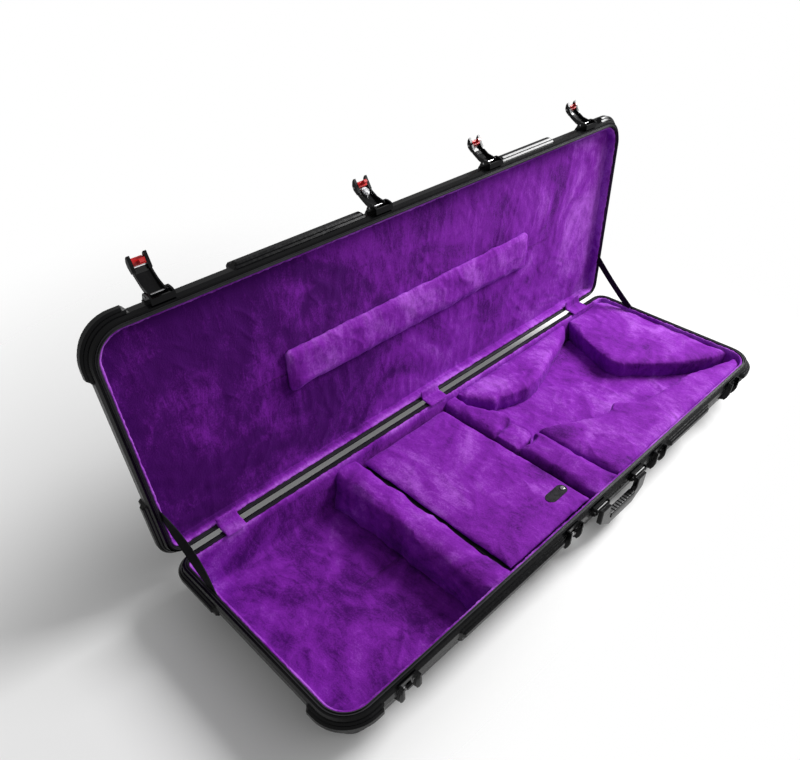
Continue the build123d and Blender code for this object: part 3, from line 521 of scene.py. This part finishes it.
pads = {}
for name in cushions:
    pad = new_piece(f"soft_{name}", from_node(name))
    remesh = pad.modifiers.new("remesh", "REMESH")
    remesh.mode = "VOXEL"
    remesh.voxel_size = VOXEL
    swap(pad, settled(pad))
    relax = pad.modifiers.new("relax", "SMOOTH")
    relax.factor = 0.5
    relax.iterations = 4
    swap(pad, settled(pad))
    pads[name] = pad

for pad in pads.values():
    cloth = pad.modifiers.new("cloth", "CLOTH")
    cloth.settings.quality = 4
    cloth.settings.mass = 0.3
    cloth.settings.tension_stiffness = 12
    cloth.settings.compression_stiffness = 8
    cloth.settings.bending_stiffness = 0.4
    cloth.settings.use_pressure = True
    cloth.settings.uniform_pressure_force = PRESSURE
    cloth.settings.effector_weights.gravity = 0
    cloth.point_cache.frame_start = 1
    cloth.point_cache.frame_end = STEPS
for step in range(1, STEPS + 1):
    scene.frame_set(step)
for name, pad in pads.items():
    cap = cushions[name][1]
    blown = settled(pad)
    for vertex, rest in zip(blown.vertices, pad.data.vertices):
        move = vertex.co - rest.co
        if move.length > cap:
            vertex.co = rest.co + move * (cap / move.length)
    swap(pad, blown)
scene.frame_set(1)

for name, pad in pads.items():
    finer = pad.modifiers.new("finer", "SUBSURF")
    finer.levels = 1
    finer.render_levels = 1
    swap(pad, settled(pad))


def creased(folds, swells, tufts, middle=0.5, drop=0.0):
    """How far a point stands out. Folds, swells and tufts: a depth, a size and a seed."""

    def stand_out(point):
        return (
            folds[0] * (fold(point, *folds[1:]) - middle)
            + swells[0] * wave(point, *swells[1:])
            + tufts[0] * wave(point, *tufts[1:])
            - drop
        )

    return stand_out


block_creases = creased((0.0016, 0.04, 5.0), (0.0014, 0.05, 4.0), (0.0007, 0.012, 8.0))
creases = {
    "neck_rest": creased(
        (0.0028, 0.05, 6.0), (0.0035, 0.045, 3.0), (0.0012, 0.014, 5.0), middle=0.4, drop=0.001
    ),
    "compartment_lid": creased((0.0014, 0.05, 2.0), (0.0012, 0.06, 7.0), (0.0005, 0.014, 5.0)),
    "pocket_pad": creased((0.0024, 0.045, 9.0), (0.002, 0.06, 2.0), (0.0007, 0.012, 8.0)),
}

REACH_MARGIN = 0.009
REACH_LENGTH = 0.03
REACH_OUT = 0.004
REACH_UP = 0.006
REACH_BOTTOM = 0.035
REACH_FADE = 0.015


def reach_rim(mesh):
    """Draws a block's upper side out and up to the lining's lip, where pile closes the joint."""
    for vertex in mesh.vertices:
        spot = vertex.co
        near_end = limited(1 - (HALF_LENGTH - abs(spot.x) - REACH_MARGIN) / REACH_LENGTH)
        near_side = limited(1 - (HALF_WIDTH - abs(spot.y) - REACH_MARGIN) / REACH_LENGTH)
        upper = limited((spot.z - RIM_HEIGHT + REACH_BOTTOM) / REACH_FADE)
        spot.x += (1 if spot.x > 0 else -1) * REACH_OUT * near_end * upper
        spot.y += (1 if spot.y > 0 else -1) * REACH_OUT * near_side * upper
        spot.z += REACH_UP * max(near_end, near_side) ** 2 * upper
    mesh.update()


# The seam between the two front blocks, and which way each of them is drawn to it
SEAM_X = 0.0765
SEAM_REACH = 0.014
SEAM_PULL = 0.0045
seam_ways = {"foam_front": -1, "foam_neck_front": 1}


def close_seam(mesh, way):
    """Draws one side of a block towards the seam that it shares with its neighbour."""
    for vertex in mesh.vertices:
        near = max(0.0, 1 - abs(vertex.co.x - SEAM_X) / SEAM_REACH)
        vertex.co.x += way * SEAM_PULL * near
    mesh.update()


pad_shades = {"lid_pad": 0.56}
for name, pad in pads.items():
    push(pad.data, creases.get(name, block_creases))
    if name.startswith("foam") or name == "neck_rest":
        reach_rim(pad.data)
    if name in seam_ways:
        close_seam(pad.data, seam_ways[name])
    # Painted light: pile that faces up is lighter, a painted highlight. The lid's pad starts from a
    # lighter tone than the blocks, and the swells vary the tone at random.
    shades = [
        pad_shades.get(name, 0.48) + 0.06 * wave(v.co, 0.07, 3.0) + 0.04 * max(0.0, v.normal.z)
        for v in pad.data.vertices
    ]
    dress(pad, cushions[name][0], [name], shades)


# The hinge covers: three strips of plush, glued to the linings of base and lid. They
# bridge the gap between the rims over the hinges.

# Each one's left and right end, then the path that all three take over the gap, given
# as steps back and up from the back edge of the base's rim
COVERS = ((-0.517, -0.477), (-0.03, 0.019), (0.47, 0.524))
COVER_PATH = (
    (-0.014, 0.0002), (-0.006, 0.0018), (0.002, 0.0024), (0.0075, 0.0022), (0.0115, 0.003),
    (0.0135, 0.005), (0.0142, 0.0075), (0.016, 0.0105), (0.0165, 0.015), (0.0166, 0.02),
)
COVER_THICKNESS = 0.0018
COVER_COLUMNS = 14
COVER_RAGGED = 0.003

cover_points = []
cover_faces = []
rows = len(COVER_PATH)
stride = COVER_COLUMNS + 1
size = rows * stride
for left, right in COVERS:
    first = len(cover_points)
    for layer in (0.0, COVER_THICKNESS):
        for row, (y, z) in enumerate(COVER_PATH):
            ahead = COVER_PATH[min(row + 1, rows - 1)]
            behind = COVER_PATH[max(row - 1, 0)]
            way = Vector((ahead[0] - behind[0], ahead[1] - behind[1])).normalized()
            for step in range(stride):
                share = step / COVER_COLUMNS
                rim = min(share, 1 - share, row / rows, 1 - row / (rows - 1))
                ragged = COVER_RAGGED * wave(Vector((left * 3 + share, row * 0.31, layer)), 0.3, 2.0)
                x = left + (right - left) * share
                x += ragged * (1 if step in (0, COVER_COLUMNS) else 0.3)
                lift = layer * min(1.0, 0.25 + rim * 8)
                spot = (x, HALF_WIDTH + y - way.y * lift, RIM_HEIGHT + z + way.x * lift)
                cover_points.append(Vector(spot))
    for row in range(rows - 1):
        for step in range(COVER_COLUMNS):
            a = first + row * stride + step
            b = a + stride
            cover_faces.append((a, b, b + 1, a + 1))
            cover_faces.append((a + size, a + size + 1, b + size + 1, b + size))
        for step in (0, COVER_COLUMNS):
            a = first + row * stride + step
            b = a + stride
            cover_faces.append((a, a + size, b + size, b))
    for step in range(COVER_COLUMNS):
        for row in (0, rows - 1):
            a = first + row * stride + step
            cover_faces.append((a, a + 1, a + 1 + size, a + size))
covers = new_piece("covers", closed_mesh("covers", cover_points, cover_faces))
dress(covers, None, ["hinge_covers"], [0.5] * len(cover_points))
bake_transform(covers)


# The stay straps: black woven webbing, riveted to base and lid at each end of the case.
# They stop the lid at its open angle. The left one hangs twisted.

STRAP_HALF_WIDTH = 0.008
STRAP_HALF_THICK = 0.00075
STRAP_FROM_END = 0.00605
STRAP_X = HALF_LENGTH - STRAP_FROM_END
STRAP_Y = 0.1086
STRAP_DROP = 0.005
STRAP_TWIST = {"left": 0.75, "right": 0.1}
STRAP_BOW = 0.003
STRAP_PAST_RIVET = 0.0075
STRAP_END_HALF = 0.003
STRAP_ROWS = 40
STRAP_COLUMNS = 4

stride = 2 * (STRAP_COLUMNS + 1)
last = 2 * STRAP_COLUMNS
for side, sign in (("left", -1), ("right", 1)):
    low = Vector((sign * STRAP_X, STRAP_Y, RIM_HEIGHT - STRAP_DROP))
    high = lid_place @ Vector((sign * STRAP_X, STRAP_Y, STRAP_DROP))
    run = (high - low).normalized()
    width = run.cross(Vector((1, 0, 0)))
    length = (high - low).length
    points = []
    for row in range(STRAP_ROWS + 1):
        along = -STRAP_PAST_RIVET + (length + 2 * STRAP_PAST_RIVET) * row / STRAP_ROWS
        past = max(0.0, -along, along - length)
        half = max(STRAP_END_HALF, (STRAP_HALF_WIDTH**2 - past**2) ** 0.5)
        bend = sin(pi * limited(along / length))
        turn = Matrix.Rotation(-sign * STRAP_TWIST[side] * bend, 3, run)
        middle = low + run * along + Vector((-sign * STRAP_BOW * bend, 0, 0))
        for step in range(STRAP_COLUMNS + 1):
            shift = (2 * step / STRAP_COLUMNS - 1) * half
            for layer in (-1, 1):
                offset = width * shift + Vector((layer * STRAP_HALF_THICK, 0, 0))
                points.append(middle + turn @ offset)
    faces = []
    for row in range(STRAP_ROWS):
        a = row * stride
        b = a + stride
        for step in range(0, last, 2):
            faces.append((a + step, a + step + 2, b + step + 2, b + step))
            faces.append((a + step + 1, b + step + 1, b + step + 3, a + step + 3))
        faces.append((a, b, b + 1, a + 1))
        faces.append((a + last, a + last + 1, b + last + 1, b + last))
    for a in (0, STRAP_ROWS * stride):
        for step in range(0, last, 2):
            faces.append((a + step, a + step + 1, a + step + 3, a + step + 2))
    mesh = closed_mesh(f"strap_{side}", points, faces)
    strap = new_piece(f"ribbon_{side}", mesh)
    mesh.materials.append(looks["webbing"])
    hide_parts(f"strap_{side}")
    tuple(low + run * 0.012)
    tuple(high - run * 0.012)
    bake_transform(strap)


# The floor: a white sweep under the case. It fades out into the white round it, soonest
# in front and sooner to the right than to the left.

FLOOR_HALF = 14
FADE_MIDDLE_X = -0.1
FADE_FRONT_Y = -0.1
FADE_RIGHT = 1.15
FADE_LEFT = 0.85
FADE_FRONT = 5.0
FADE_BACK = 0.8

floor_mesh = bpy.data.meshes.new("floor")
floor_corners = [
    (x * FLOOR_HALF, y * FLOOR_HALF, 0) for x, y in ((-1, -1), (1, -1), (1, 1), (-1, 1))
]
floor_mesh.from_pydata(floor_corners, [], [(0, 1, 2, 3)])
floor = new_piece("floor", floor_mesh)
white, start, place, shader = material("floor_white")
shader.inputs["Base Color"].default_value = (0.93, 0.93, 0.93, 1)
shader.inputs["Roughness"].default_value = 0.9
shader.inputs["Specular IOR Level"].default_value = 0.0
across = start.node("SeparateXYZ", {0: place}, out="X")
along = start.node("SeparateXYZ", {0: place}, out="Y")
sideways = (across - FADE_MIDDLE_X).math("MAXIMUM") * FADE_RIGHT
sideways = sideways + (FADE_MIDDLE_X - across).math("MAXIMUM") * FADE_LEFT
frontways = (FADE_FRONT_Y - along).math("MAXIMUM") * FADE_FRONT
frontways = frontways + along.math("MAXIMUM") * FADE_BACK
away = (sideways * sideways + frontways * frontways).math("SQRT")
wire(shader, "Alpha", 1.0 - away.ramp(0.45, 1.35))
floor_mesh.materials.append(white)


# The light: a white surround that the camera sees at full strength and the case only in
# part, a large soft lamp high on the right, and a weak wide one in front.

AMBIENT = 0.31

world = bpy.data.worlds.new("world")
scene.world = world
world.use_nodes = True
air = world.node_tree
air.nodes.clear()
sky = Tie(air)
seen = sky.node("LightPath", out="Is Camera Ray")
strength = seen * (1.0 - AMBIENT) + AMBIENT
backdrop = sky.node("Background", {"Color": (1, 1, 1, 1), "Strength": strength})
out = air.nodes.new("ShaderNodeOutputWorld")
air.links.new(backdrop.socket, out.inputs["Surface"])


def area_light(name, place, target, width, height, power):
    lamp = bpy.data.lights.new(name, "AREA")
    lamp.shape = "RECTANGLE"
    lamp.size = width
    lamp.size_y = height
    lamp.energy = power
    obj = new_piece(name, lamp)
    way = Vector(target) - Vector(place)
    turn = way.to_track_quat("-Z", "Y").to_matrix().to_4x4()
    obj.matrix_world = Matrix.Translation(place) @ turn


area_light("key", (2.1, -0.55, 1.9), (0.15, 0, 0.1), width=1.2, height=1.2, power=114)
area_light("fill", (0.9, -2.8, 2.2), (0, 0, 0.1), width=2.4, height=1.4, power=12)
